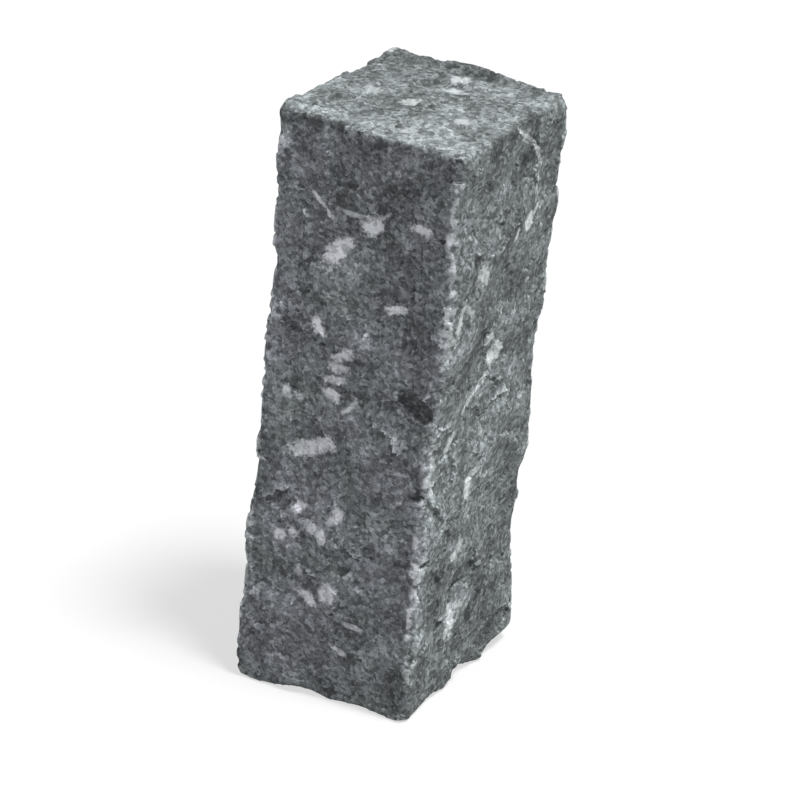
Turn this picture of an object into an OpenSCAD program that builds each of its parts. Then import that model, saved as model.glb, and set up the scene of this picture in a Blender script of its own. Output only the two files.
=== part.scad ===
// Split granite palisade: a short square post, split by hand, for edgings, steps and low walls.
// It stands on its foot. The origin is the middle of the foot, on the ground, and +Z is up.
// The front face looks to -Y and the right face to +X.

/* [Post] */
// Height from the ground to the head
post_height = 500; // [300:5:700]
// Width of the front face at the foot
foot_width = 150; // [120:1:190]
// Depth of the right face at the foot
foot_depth = 165; // [120:1:190]
// Width of the front face at the head
head_width = 163; // [120:1:190]
// Depth of the right face at the head
head_depth = 149; // [120:1:190]
// How far the head stands to the right of the foot
lean_right = 28; // [-30:1:30]
// How far the head stands behind the foot
lean_back = 6; // [-30:1:30]

/* [Split faces] */
// Rise and fall of the long waves on the sides
wave_height = 2.6; // [0:0.1:5]
// Length of the long waves
wave_length = 85; // [60:5:160]
// Rise and fall of the short, rough waves on the sides
rough_height = 1.8; // [0:0.1:2.5]
// Length of the short, rough waves
rough_length = 27; // [20:1:50]
// Rise and fall of the head
head_relief = 2.4; // [0:0.1:5]
// How much deeper or shallower every flake scar is than listed
scar_scale = 1; // [0:0.1:1.5]
// How steep the flat facets are against their listed slopes
facet_scale = 1; // [0:0.1:1.3]

/* [Edges] */
// How far the hammer has set back the upright edges, in turn from front left
arris_cut = [3, 4, 4, 4]; // [1:0.5:8]
// How far the edge of the head is set back
head_cut = 1; // [1:0.5:5]
// How steeply the edge of the head falls where it is set back, as drop over run
head_fall = 2.5; // [1:0.1:4]
// How far the edge of the foot is set back
foot_cut = 2; // [1:0.5:5]
// Width of the head's rim that slopes up from its edge
head_rim = 14; // [8:1:25]
// How far the head's edge sinks where it is set back, as a share
edge_sag = 0.4; // [0:0.05:0.6]
// Height of the band below the head that rises and sinks with its edge
rise_band = 40; // [30:1:60]
// How unevenly all these edges are set back
cut_ripple = 1.4; // [0:0.1:3]

/* [Bed] */
// Depth of rough stone taken off to level the foot
bed_cut = 3; // [1:0.5:6]

/* [Surface points] */
// Spacing of the points that carry the surface
point_step = 11; // [11:1:20]
// How much closer the points are at the edges, as a share
edge_crowding = 0.5; // [0:0.05:0.7]

/* [Hidden] */

stone_grey = [0.46, 0.48, 0.49];

// The sides are numbered in turn round the post, seen from above
front = 0;
right = 1;
back = 2;
left = 3;

// How far each corner stands off its square place, to the right and to the back, from front left
foot_off_square = [[-4, -8], [1, -2], [4, 8], [4, -1]];
head_off_square = [[-8, 2], [2, -6], [8, 1], [4, 5]];

// How far each upright edge bows out of straight, at even stations from foot to head
edge_bow = [
    [4, 5.5, 4, -1, -1, 1, -2, 0, 1],
    [0, 2, 2, 1, -1, 0, 1, 1, 0],
    [-1, -5, -7, -3, -3, -2, 0.5, -0.5, 1],
    [2, 0, -3, -4, -2, 1, 2, 0, -1],
];

// Hollow flake scars: side, place along it and up it as shares, width, height, depth
scars = [
    [front, 0.30, 0.93, 78, 50, 4.5],
    [front, 0.18, 0.42, 70, 150, 2.5],
    [front, 0.62, 0.14, 90, 90, 2.5],
    [right, 0.52, 0.62, 74, 190, 6],
    [right, 0.72, 0.30, 84, 120, 7],
    [right, 0.30, 0.12, 60, 100, 4],
    [right, 0.82, 0.88, 50, 70, 3.5],
    [back, 0.30, 0.72, 96, 150, 6],
    [back, 0.70, 0.34, 88, 170, 5],
    [back, 0.34, 0.14, 70, 80, 4],
    [left, 0.64, 0.80, 80, 120, 5],
    [left, 0.34, 0.48, 90, 150, 6],
    [left, 0.66, 0.18, 84, 110, 4.5],
];

// Flat facets where flakes came off clean: side, place along it and up it as shares, reach, depth,
// and the slopes with which they face along the side and up it
facets = [
    [front, 0.93, 0.57, 28, 0.5, -0.12, -0.28],
    [front, 0.66, 0.51, 40, 1.0, -0.03, 0.12],
    [front, 0.68, 0.78, 66, 1.4, 0.05, -0.07],
    [front, 0.16, 0.80, 50, 1.0, -0.06, 0.05],
    [front, 0.24, 0.60, 52, 1.2, -0.05, -0.05],
    [front, 0.30, 0.38, 56, 1.0, -0.02, 0.06],
    [front, 0.74, 0.30, 56, 1.2, 0.06, -0.05],
    [front, 0.20, 0.15, 50, 1.2, -0.06, 0.04],
    [front, 0.62, 0.08, 46, 1.4, 0.02, -0.10],
    [right, 0.12, 0.84, 52, 1.4, -0.02, 0.09],
    [right, 0.34, 0.58, 38, 3.0, 0.20, -0.20],
    [right, 0.56, 0.54, 44, 2.0, -0.18, 0.18],
    [right, 0.64, 0.93, 30, 2.6, -0.12, -0.12],
    [right, 0.78, 0.74, 50, 2.0, 0.05, -0.08],
    [right, 0.82, 0.50, 52, 2.0, 0.06, 0.09],
    [right, 0.20, 0.40, 46, 1.6, -0.04, 0.09],
    [right, 0.56, 0.38, 46, 2.2, 0.02, -0.10],
    [right, 0.42, 0.22, 34, 3.2, 0.05, -0.20],
    [right, 0.74, 0.20, 48, 2.6, 0.06, 0.10],
    [right, 0.14, 0.22, 46, 1.4, -0.04, 0.06],
    [right, 0.20, 0.12, 36, 2.0, 0.05, -0.12],
    [back, 0.24, 0.86, 54, 1.6, -0.06, 0.08],
    [back, 0.72, 0.80, 58, 1.8, 0.06, -0.07],
    [back, 0.46, 0.62, 56, 2.0, -0.04, 0.09],
    [back, 0.18, 0.46, 50, 1.6, -0.08, -0.05],
    [back, 0.80, 0.50, 52, 1.8, 0.08, 0.06],
    [back, 0.52, 0.26, 56, 1.8, 0.03, -0.09],
    [back, 0.22, 0.14, 48, 1.6, -0.06, 0.07],
    [back, 0.82, 0.14, 46, 1.8, 0.07, -0.06],
    [left, 0.28, 0.88, 52, 1.6, -0.05, 0.08],
    [left, 0.76, 0.72, 56, 1.8, 0.06, -0.08],
    [left, 0.22, 0.62, 50, 1.8, -0.07, -0.06],
    [left, 0.66, 0.46, 54, 1.8, 0.05, 0.09],
    [left, 0.24, 0.32, 52, 1.6, -0.06, 0.06],
    [left, 0.74, 0.22, 50, 1.8, 0.06, -0.09],
    [left, 0.30, 0.09, 46, 1.6, -0.04, 0.07],
];
// Facets of the head: place to the right and to the back of its middle, reach, depth, slopes that way
head_facets = [
    [14, 62, 46, 2.4, 0.00, 0.24],
    [-30, -20, 44, 0.8, -0.03, -0.06],
    [46, -30, 46, 0.8, 0.05, -0.03],
    [40, 30, 40, 1.0, 0.04, 0.05],
];
// Share of a facet's reach at which its wall starts to rise, and how much steeper than its floor the wall is
facet_floor = 0.75;
facet_wall = 0.25;

// Chips off the head's edge: side plus place along it as a share, length, depth
head_chips = [
    [front + 0.27, 62, 9],
    [front + 0.80, 40, 3],
    [right + 0.10, 36, 3],
    [right + 0.96, 30, 3],
    [back + 0.85, 40, 3],
    [left + 0.40, 70, 4],
];
// Lips where the head's edge stands higher: side plus place along it as a share, length, height
head_lips = [
    [right + 0.98, 40, 2],
    [back + 0.62, 170, 5],
    [back + 1.00, 44, 3],
    [left + 0.48, 40, 5],
    [left + 0.88, 36, 5],
];

// Chips off the foot's edge, listed the same way
foot_chips = [
    [front + 0.02, 24, 3],
    [front + 0.36, 64, 11],
    [front + 0.75, 50, 3],
    [right + 0.26, 60, 5],
    [right + 0.55, 58, 18],
    [right + 0.84, 56, 13],
    [right + 1.00, 50, 11],
    [back + 0.60, 70, 6],
    [left + 0.35, 60, 5],
];

// Chips off the upright edges: edge, place up it as a share, length, depth
arris_chips = [
    [0, 0.97, 40, 2],
    [0, 0.62, 50, 2],
    [1, 0.52, 60, 4],
    [1, 0.30, 70, 3],
    [2, 0.99, 36, 3],
    [2, 0.32, 44, 6],
    [3, 0.85, 60, 5],
    [3, 0.40, 70, 4],
];

// How many points carry each side, and how many rings the head
widest = max(foot_width, foot_depth, head_width, head_depth);
side_columns = ceil(widest / point_step);
side_rows = ceil((post_height + bed_cut) / point_step);
cap_rings = ceil(widest / 2 / point_step);
ring_size = 4 * side_columns;

function eased(s) = s * s * (3 - 2 * s);
function unit(v) = v / norm(v);
function sum(values) = len(values) == 0 ? 0 : values * [for (v = values) 1];

// Shares along a run of points, closer together at its two ends
function crowded(s) = edge_crowding * (1 - cos(180 * s)) / 2 + (1 - edge_crowding) * s;
column_stops = [for (i = [0 : side_columns - 1]) crowded(i / side_columns)];
row_stops = [for (j = [0 : side_rows]) crowded(j / side_rows) * (post_height + bed_cut) - bed_cut];

// The value at share t along a list of evenly spaced stations
function station(values, t) =
    let (s = t * (len(values) - 1), i = min(floor(s), len(values) - 2))
    values[i] + (values[i + 1] - values[i]) * eased(s - i);

// A sheet of random heights from -1 to 1, and its height at x, y in steps of the sheet
function sheet(columns, rows, seed) = [for (r = [0 : rows]) rands(-1, 1, columns + 1, seed + r)];
function height_at(heights, x, y) =
    let (
        i = min(floor(x), len(heights[0]) - 2),
        j = min(floor(y), len(heights) - 2),
        a = eased(x - i),
        b = eased(y - j),
        low = heights[j][i] * (1 - a) + heights[j][i + 1] * a,
        high = heights[j + 1][i] * (1 - a) + heights[j + 1][i + 1] * a
    )
    low * (1 - b) + high * b;

// Seeds of the waves and the ripples, and how far apart the seeds of neighbouring sides are
wave_seed = 11;
rough_seed = 517;
head_seed = 931;
arris_seed = 40;
head_edge_seed = 60;
foot_edge_seed = 80;
side_seeds = 100;

// Wave sheets for the four sides and the head
wave_columns = ceil(widest / wave_length);
wave_rows = ceil(post_height / wave_length);
rough_columns = ceil(widest / rough_length);
rough_rows = ceil(post_height / rough_length);
wave_sheets = [for (k = [0 : 3]) sheet(wave_columns, wave_rows, side_seeds * k + wave_seed)];
rough_sheets = [for (k = [0 : 3]) sheet(rough_columns, rough_rows, side_seeds * k + rough_seed)];
head_sheet = sheet(rough_columns, rough_columns, head_seed);

// A list of random values that ends where it began, for an edge that runs round the post
function loop_values(count, seed) =
    let (values = rands(-1, 1, count, seed))
    concat(values, [values[0]]);

// Ripples along the upright edges, round the head and round the foot
arris_ripples = [for (k = [0 : 3]) rands(-1, 1, rough_rows + 1, arris_seed + k)];
head_ripples = loop_values(4 * rough_columns, head_edge_seed);
foot_ripples = loop_values(4 * rough_columns, foot_edge_seed);

// Straight outline of the foot and the head
corner_signs = [[-1, -1], [1, -1], [1, 1], [-1, 1]];
lean = [lean_right, lean_back];
function corner(k, width, depth, shift) =
    [corner_signs[k][0] * width / 2, corner_signs[k][1] * depth / 2] + shift;
foot_corners = [for (k = [0 : 3]) corner(k, foot_width, foot_depth, foot_off_square[k])];
head_corners = [for (k = [0 : 3]) corner(k, head_width, head_depth, head_off_square[k]) + lean];

// Upright edge k at share t of the height, bowed along the corner's diagonal
function edge_point(k, t) =
    foot_corners[k] * (1 - t) + head_corners[k] * t + unit(corner_signs[k]) * station(edge_bow[k], t);

// A rounded bump of the given depth, length long, at the middle of a run
function bump(distance, length, depth) =
    abs(distance) < length / 2 ? depth * (1 + cos(360 * distance / length)) / 2 : 0;

// The shorter way round the post from one place to another, counted in sides
function way_round(from, to) = to - from - 4 * round((to - from) / 4);

// The least that any edge is set back
least_cut = 0.5;

// How far upright edge k is set back at share t of the height: its own cut, its ripple and its chips
function arris_back(k, t) =
    max(least_cut, arris_cut[k] + cut_ripple * station(arris_ripples[k], t)
        + sum([for (c = arris_chips) if (c[0] == k) bump((t - c[1]) * post_height, c[2], c[3])]));

// Sum of the chips or lips of an edge that runs round the post, at a place counted in sides
function rim_bumps(bumps, place, width) =
    sum([for (b = bumps) bump(way_round(b[0], place) * width, b[1], b[2])]);

// How far such an edge is set back
function rim_back(cut, ripples, chips, place, width) =
    max(least_cut, cut + cut_ripple * station(ripples, place / 4) + rim_bumps(chips, place, width));

// Depth of the flake scars at a place on side k
function scar_depth(k, u, t, width) =
    sum([for (c = scars) if (c[0] == k)
        let (across = (u - c[1]) * width * 2 / c[3], up = (t - c[2]) * post_height * 2 / c[4])
        scar_scale * c[5] * max(0, 1 - across * across - up * up)]);

// How far out the floor and the wall of a facet stand, at a step from its middle
function facet_out(step, reach, depth, slopes) =
    (facet_wall + facet_scale * norm(slopes)) * max(0, norm(step) - facet_floor * reach)
        - depth - facet_scale * (slopes * step);

// How far side k stands out of flat: its waves, fading out at its two edges, less its scars and facets
function relief(k, u, t, width) =
    let (
        edge_gap = min(u, 1 - u) * width,
        fade = eased(min(1, edge_gap / rough_length)),
        waves = wave_height * height_at(wave_sheets[k], u * wave_columns, t * wave_rows),
        rough = rough_height * height_at(rough_sheets[k], u * rough_columns, t * rough_rows)
    )
    min([
        fade * (waves + rough) - scar_depth(k, u, t, width),
        for (c = facets) if (c[0] == k)
            facet_out([(u - c[1]) * width, (t - c[2]) * post_height], c[3], c[4], [c[5], c[6]])
    ]);

// The same at an upright edge, where two sides meet
function edge_relief(k, t, width) = min(relief(k, 0, t, width), relief((k + 3) % 4, 1, t, width));

// A ray counts as running toward an upright edge where it turns from it by less than the angle of this cosine
edge_facing = 0.5;

// How far a ray from the middle runs before it meets the cut face of upright edge k
function arris_reach(k, ray, t, rim) =
    let (
        corner_spoke = edge_point(k, t) - lean * t,
        out = unit(corner_spoke),
        toward = ray * out
    )
    toward < edge_facing ? widest : (norm(corner_spoke) - arris_back(k, t) - rim) / toward;

// A point of the rough stone's skin: side k, share u along the side, height z
function skin_point(k, u, z) =
    let (
        t = max(0, z / post_height),
        start = edge_point(k, t),
        run = edge_point((k + 1) % 4, t) - start,
        width = norm(run),
        out = [run[1], -run[0]] / width,
        spoke = start + run * u - lean * t,
        ray = unit(spoke),
        head_back = rim_back(head_cut, head_ripples, head_chips, k + u, width),
        foot_back = rim_back(foot_cut, foot_ripples, foot_chips, k + u, width),
        rim = max(0, head_back - (post_height - z) / head_fall) + max(0, foot_back - z),
        out_of_flat = u == 0 ? edge_relief(k, t, width) : relief(k, u, t, width),
        side_reach = norm(spoke) + (out_of_flat - rim) / (ray * out),
        reach = min([side_reach, for (e = [0 : 3]) arris_reach(e, ray, t, rim)]),
        place = lean * t + ray * reach,
        rise = rim_bumps(head_lips, k + u, width) - edge_sag * head_back
    )
    [place[0], place[1], z + rise * eased(max(0, 1 - (post_height - z) / rise_band))];

function ring(z) = [for (k = [0 : 3]) for (u = column_stops) skin_point(k, u, z)];
head_ring = ring(post_height);

// Height of the head's rough top, away from its edge
function head_height(place) =
    let (
        step = place - lean,
        x = max(0, min(1, step[0] / widest + 0.5)),
        y = max(0, min(1, step[1] / widest + 0.5))
    )
    post_height + min([
        head_relief * height_at(head_sheet, x * rough_columns, y * rough_columns),
        for (c = head_facets) facet_out(step - [c[0], c[1]], c[2], c[3], [c[4], c[5]])
    ]);

// Ring of the head at share f from its middle to its edge
function head_cap(f) = [for (p = head_ring)
    let (
        spoke = [p[0], p[1]] - lean,
        place = lean + spoke * f,
        top_share = eased(min(1, (1 - f) * norm(spoke) / head_rim))
    )
    [place[0], place[1], p[2] * (1 - top_share) + head_height(place) * top_share]];

// Rings up the sides and in over the head
rings = concat(
    [for (z = row_stops) ring(z)],
    [for (i = [cap_rings - 1 : -1 : 1]) head_cap(sin(90 * i / cap_rings))]
);

module rough_stone() {
    skin = [for (r = rings) each r];
    head_point = [lean[0], lean[1], head_height(lean)];
    bed_point = [0, 0, -bed_cut];
    last = len(rings) - 1;
    function at(r, i) = r * ring_size + i % ring_size;
    polyhedron(
        points = concat(skin, [head_point, bed_point]),
        faces = concat(
            [for (i = [0 : ring_size - 1]) [at(0, i), at(0, i + 1), len(skin) + 1]],
            [for (r = [0 : last - 1]) for (i = [0 : ring_size - 1])
                each [
                    [at(r, i), at(r + 1, i), at(r + 1, i + 1)],
                    [at(r, i), at(r + 1, i + 1), at(r, i + 1)],
                ]],
            [for (i = [0 : ring_size - 1]) [at(last, i), len(skin), at(last, i + 1)]]
        )
    );
}

// The ground that the foot is levelled to
module bed_block() {
    reach = 2 * (foot_width + foot_depth);
    translate([-reach / 2, -reach / 2, -2 * bed_cut]) cube([reach, reach, 2 * bed_cut]);
}

module palisade() {
    color(stone_grey)
    difference() {
        rough_stone();
        bed_block();
    }
}

palisade();
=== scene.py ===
"""Looks of a short split granite palisade: rough split faces, pale chisel marks and speckled stone.

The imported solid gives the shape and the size. This script copies it, gives it the fine relief of split
stone, marks it where the tools have bruised it, and dresses it in granite on a plain pale floor.
"""

import logging
import math
from dataclasses import dataclass
from enum import Enum, IntEnum
from typing import Any, Callable

import bmesh
import bpy
from mathutils import Matrix, Vector
from mathutils.bvhtree import BVHTree


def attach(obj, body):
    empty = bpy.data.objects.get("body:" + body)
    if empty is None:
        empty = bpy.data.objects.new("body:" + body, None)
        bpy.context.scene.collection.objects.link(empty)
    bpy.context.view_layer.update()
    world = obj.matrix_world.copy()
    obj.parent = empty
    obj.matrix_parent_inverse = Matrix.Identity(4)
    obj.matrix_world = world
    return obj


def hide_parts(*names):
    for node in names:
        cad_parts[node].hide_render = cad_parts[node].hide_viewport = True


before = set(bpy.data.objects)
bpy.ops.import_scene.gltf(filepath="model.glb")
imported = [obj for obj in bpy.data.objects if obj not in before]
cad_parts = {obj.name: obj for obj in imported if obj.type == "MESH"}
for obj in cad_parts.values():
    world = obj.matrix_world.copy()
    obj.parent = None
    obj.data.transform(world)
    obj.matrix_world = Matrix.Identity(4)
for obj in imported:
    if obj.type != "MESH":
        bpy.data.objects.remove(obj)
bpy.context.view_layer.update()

LOG = logging.getLogger("palisade")
NODE = "palisade"
BODY = "root"
MM = 0.001

# Names of the values that the relief leaves on the mesh for the granite to read
ARRIS = "arris"
BRUISE = "bruise"
PALLOR = "pallor"
# Lighter and darker places of the stone, with shade painted under the rim, in recesses and in a chip's shadow
TONE_AND_SHADE = "tone"
VIOLET = "violet"

Colour = tuple[float, float, float, float]
Limits = tuple[float, ...]
Inputs = dict[str | int, Any]
Node = bpy.types.Node
Socket = bpy.types.NodeSocket
Piece = bpy.types.Object


def grey(level: float) -> Colour:
    """A linear grey as red, green, blue and alpha."""
    return (level, level, level, 1.0)


class Side(Enum):
    """A face of the post, with the way along it, the way up it and the way out of it."""

    FRONT = ((1, 0, 0), (0, 0, 1), (0, -1, 0))
    RIGHT = ((0, 1, 0), (0, 0, 1), (1, 0, 0))
    HEAD = ((1, 0, 0), (0, 1, 0), (0, 0, 1))

    @property
    def along(self) -> Vector:
        """The way along the face."""
        return Vector(self.value[0])

    @property
    def up(self) -> Vector:
        """The way up the face, or back over the head."""
        return Vector(self.value[1])

    @property
    def out(self) -> Vector:
        """The way out of the face."""
        return Vector(self.value[2])


class ReliefLayer(IntEnum):
    """What is random in the relief, each with its own step from the seed."""

    FACET = 0
    SWELL = 1
    CRUMB = 2
    CHIP = 3
    OUTLINE = 5


class StrayLayer(IntEnum):
    """What is random in a stray bruise, each with its own step from the seed."""

    LENGTH = 1
    TURN = 2
    WIDTH = 3
    STRENGTH = 4
    SOFT = 5


class GrainLayer(IntEnum):
    """What is random in the granite, each with its own seed."""

    CLOUD = 1
    GRIT = 2
    SWAY = 3
    FLECK = 4
    DUST = 5
    MOTTLE = 6
    PATCH = 7


class Graph:
    """A node tree that is written as nested calls."""

    def __init__(self, tree: bpy.types.NodeTree) -> None:
        """Takes the tree that the nodes go into."""
        self.tree = tree

    def node(self, kind: str, inputs: Inputs | None = None, **settings: Any) -> Node:
        """Adds a node.

        Args:
            kind: Blender's name of the node type.
            inputs: Sockets to link, or values to set, by socket name or index.
            **settings: Properties of the node.

        Returns:
            The new node.
        """
        node = self.tree.nodes.new(kind)
        for name, value in settings.items():
            setattr(node, name, value)
        for key, value in (inputs or {}).items():
            self.feed(self._socket(node, key), value)
        return node

    def result(
        self, kind: str, inputs: Inputs | None = None, output: str | None = None, **settings: Any
    ) -> Socket:
        """Adds a node and gives one of its outputs.

        Args:
            kind: Blender's name of the node type.
            inputs: Sockets to link, or values to set, by socket name or index.
            output: Name of the output, or nothing for the first one in use.
            **settings: Properties of the node.

        Returns:
            The output's socket.
        """
        node = self.node(kind, inputs, **settings)
        return next(s for s in node.outputs if s.enabled and output in (None, s.name))

    @staticmethod
    def _socket(node: Node, key: str | int) -> Socket:
        """Finds an input of a node.

        Args:
            node: The node.
            key: The input's index, or its name.

        Returns:
            The input with that index, or the first one in use with that name.
        """
        if isinstance(key, int):
            return node.inputs[key]
        return next(s for s in node.inputs if s.enabled and s.name == key)

    def feed(self, socket: Socket, value: Any) -> None:
        """Links a socket to the input, or sets the input to a plain value.

        Args:
            socket: The input.
            value: An output's socket, or the plain value.
        """
        if isinstance(value, Socket):
            self.tree.links.new(value, socket)
        else:
            socket.default_value = value

    def math(self, operation: str, *values: Any, clamp: bool = False) -> Socket:
        """Result of a Math node on the given values or sockets."""
        inputs = dict(enumerate(values))
        return self.result("ShaderNodeMath", inputs, operation=operation, use_clamp=clamp)

    def vector(self, operation: str, *values: Any) -> Socket:
        """Result of a Vector Math node on the given values or sockets."""
        keys = (0, "Scale") if operation == "SCALE" else range(len(values))
        return self.result("ShaderNodeVectorMath", dict(zip(keys, values)), operation=operation)

    def ramp(self, value: Any, low: Any, high: Any, to_low: Any = 0.0, to_high: Any = 1.0) -> Socket:
        """Eased step of a value between two limits.

        Args:
            value: The value to read.
            low: Where the step starts.
            high: Where the step ends.
            to_low: Result at the start.
            to_high: Result at the end.

        Returns:
            The result's socket.
        """
        inputs = {"Value": value, "From Min": low, "From Max": high, "To Min": to_low, "To Max": to_high}
        return self.result("ShaderNodeMapRange", inputs, interpolation_type="SMOOTHSTEP")

    def noise(
        self, place: Any, size: Any, seed: float, detail: float = 2.0, rough: float = 0.5, output: str = "Fac"
    ) -> Socket:
        """A noise whose features are about one size wide.

        Args:
            place: Places at which it is read.
            size: Width of its features in metres.
            seed: Seed of the noise.
            detail: How many finer layers it has.
            rough: How strong those layers are.
            output: Fac for one level, or Color for three.

        Returns:
            The noise's socket.
        """
        inputs = {
            "Vector": place,
            "W": float(seed),
            "Scale": self._per(size),
            "Detail": detail,
            "Roughness": rough,
        }
        return self.result("ShaderNodeTexNoise", inputs, output, noise_dimensions="4D")

    def cells(self, place: Any, size: Any) -> Node:
        """Random cells about size metres wide."""
        return self.node("ShaderNodeTexVoronoi", {"Vector": place, "Scale": self._per(size)})

    def _per(self, size: Any) -> Any:
        """How many features of a size go into a metre."""
        return self.math("DIVIDE", 1.0, size) if isinstance(size, Socket) else 1.0 / size

    def swayed(self, place: Any, size: Any, seed: float) -> Socket:
        """Places moved about a little, so that cells on them have no straight sides.

        Args:
            place: The places.
            size: Width of the sway, and twice its reach.
            seed: Seed of the sway.

        Returns:
            The moved places.
        """
        sway = self.noise(place, size, seed, output="Color")
        sway = self.vector("SCALE", self.vector("SUBTRACT", sway, (0.5, 0.5, 0.5)), size)
        return self.vector("ADD", place, sway)

    def tilted(self, place: Any, cells: Node) -> Socket:
        """Height of a surface on which every cell is a flat facet with a random slope of up to one."""
        slope = self.vector("MULTIPLY_ADD", cells.outputs["Color"], (2, 2, 2), (-1, -1, -1))
        return self.vector("DOT_PRODUCT", self.vector("SUBTRACT", place, cells.outputs["Position"]), slope)

    def height(self, place: Any) -> Socket:
        """Height of every place."""
        return self.result("ShaderNodeSeparateXYZ", {"Vector": place}, "Z")


@dataclass(frozen=True)
class Mark:
    """One oblong mark on a face: a bruise where a tool has crushed the stone, or a lighter or darker place,
    some of them painted shade.

    Attributes:
        side: Face that it is on.
        along: Place along the face, in millimetres of the part's frame.
        up: Place up the face, or back over the head, in millimetres of the part's frame.
        length: Its length in millimetres.
        width: Its width in millimetres.
        turn: Degrees that it is turned from the way along the face.
        strength: How pale it is, up to 1, or how dark below 0.
        soft: Share of its width over which it fades out.
    """

    side: Side
    along: float
    up: float
    length: float
    width: float
    turn: float = 0.0
    strength: float = 1.0
    soft: float = 0.4


@dataclass(frozen=True)
class Flake:
    """One flat facet that a shallow flake has left.

    Attributes:
        side: Face that it is on.
        along: Place of its middle along the face, in millimetres of the part's frame.
        up: Place of its middle up the face, or back over the head, in millimetres of the part's frame.
        spread: How far from its middle it can go, in millimetres.
        reach: How far from its middle it ends in a crease, the way that it faces, in millimetres.
        depth: How deep it is at its middle, in millimetres.
        lean_along: Slope with which it faces along the side.
        lean_up: Slope with which it faces up the side.
        tone: How much lighter it is than the stone around it, or darker below 0, where it is partly painted
            shade in the scar.
    """

    side: Side
    along: float
    up: float
    spread: float
    reach: float
    depth: float
    lean_along: float
    lean_up: float
    tone: float = 0.0


class Skin:
    """The stone's faces, on which places are found from outside.

    Attributes:
        reach: How far outside the search starts, in metres.
    """

    reach: float = 1.0

    def __init__(self, stone: Piece) -> None:
        """Takes the stone to search."""
        self.tree = BVHTree.FromObject(stone, bpy.context.evaluated_depsgraph_get())

    def place(self, mark: Mark | Flake) -> tuple[Vector, Vector]:
        """Finds a mark on the stone.

        Args:
            mark: The mark to find.

        Returns:
            Its place, and the way out of the stone there.
        """
        side = mark.side
        start = (side.along * mark.along + side.up * mark.up) * MM + side.out * self.reach
        place, normal, _, _ = self.tree.ray_cast(start, -side.out)
        if place is None:
            raise ValueError(f"no stone under the mark at {mark.along}, {mark.up}")
        return place, normal


def loose_points(
    name: str, places: list[Vector], vectors: dict[str, list[Vector]], numbers: dict[str, list[float]]
) -> Piece:
    """A mesh of loose points that carry named values.

    Args:
        name: Name of the object.
        places: Where the points are.
        vectors: One vector for every point, by name.
        numbers: One number for every point, by name.

    Returns:
        The new object.
    """
    mesh = bpy.data.meshes.new(name)
    mesh.from_pydata(places, [], [])
    for key, values in vectors.items():
        flat = [share for value in values for share in value]
        mesh.attributes.new(key, "FLOAT_VECTOR", "POINT").data.foreach_set("vector", flat)
    for key, values in numbers.items():
        mesh.attributes.new(key, "FLOAT", "POINT").data.foreach_set("value", values)
    points = bpy.data.objects.new(name, mesh)
    bpy.context.scene.collection.objects.link(points)
    return points


@dataclass(frozen=True)
class FaceMarks:
    """What splitting and the tools have left on the faces that are seen, and the shade painted on them.

    Attributes:
        bruises: The places that a tool has crushed, one by one.
        tones: The lighter and darker places, one by one: some where the stone split lighter or darker, some
            painted shade under the rim, in recesses and in a chip's shadow.
        flakes: The facets, one by one.
    """

    bruises: tuple[Mark, ...]
    tones: tuple[Mark, ...]
    flakes: tuple[Flake, ...]

    def points(self, skin: Skin) -> dict[str, Piece]:
        """Lays the marks on the stone.

        Args:
            skin: The stone's faces.

        Returns:
            Loose points for each kind of mark, by the kind's name.
        """
        return {
            "Bruises": self._mark_points("bruises", self.bruises, skin),
            "Tones": self._mark_points("tones", self.tones, skin),
            "Flakes": self._flake_points(skin),
        }

    @staticmethod
    def _mark_points(name: str, marks: tuple[Mark, ...], skin: Skin) -> Piece:
        """Lays oblong marks on the stone.

        Args:
            name: Name of the points.
            marks: The marks.
            skin: The stone's faces.

        Returns:
            One loose point for every mark, with its size and strength.
        """
        places, lengthways = [], []
        for mark in marks:
            place, normal = skin.place(mark)
            turn = math.radians(mark.turn)
            direction = mark.side.along * math.cos(turn) + mark.side.up * math.sin(turn)
            direction -= normal * direction.dot(normal)
            places.append(place)
            lengthways.append(direction.normalized() * mark.length * MM / 2)
        numbers = {
            "half_width": [mark.width * MM / 2 for mark in marks],
            "strength": [mark.strength for mark in marks],
            "soft": [mark.soft for mark in marks],
        }
        return loose_points(name, places, {"lengthways": lengthways}, numbers)

    def _flake_points(self, skin: Skin) -> Piece:
        """Lays the flakes' facets just under the stone's faces.

        Args:
            skin: The stone's faces.

        Returns:
            One loose point for every flake, with the way that its facet faces.
        """
        places, slants, downhill = [], [], []
        for flake in self.flakes:
            side = flake.side
            lean = side.along * flake.lean_along + side.up * flake.lean_up
            slant = (side.out + lean).normalized()
            places.append(skin.place(flake)[0] - slant * flake.depth * MM)
            slants.append(slant)
            downhill.append(lean.normalized())
        numbers = {
            "spread": [flake.spread * MM for flake in self.flakes],
            "reach": [flake.reach * MM for flake in self.flakes],
            "tone": [flake.tone for flake in self.flakes],
        }
        return loose_points("flakes", places, {"slant": slants, "downhill": downhill}, numbers)


def bake(piece: Piece) -> None:
    """Turns a piece's modifiers into a plain mesh and takes them off.

    Args:
        piece: The object to change.
    """
    bpy.context.view_layer.update()
    shaped = piece.evaluated_get(bpy.context.evaluated_depsgraph_get())
    mesh = bpy.data.meshes.new_from_object(shaped)
    mesh.name = piece.name
    piece.modifiers.clear()
    piece.data = mesh


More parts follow.
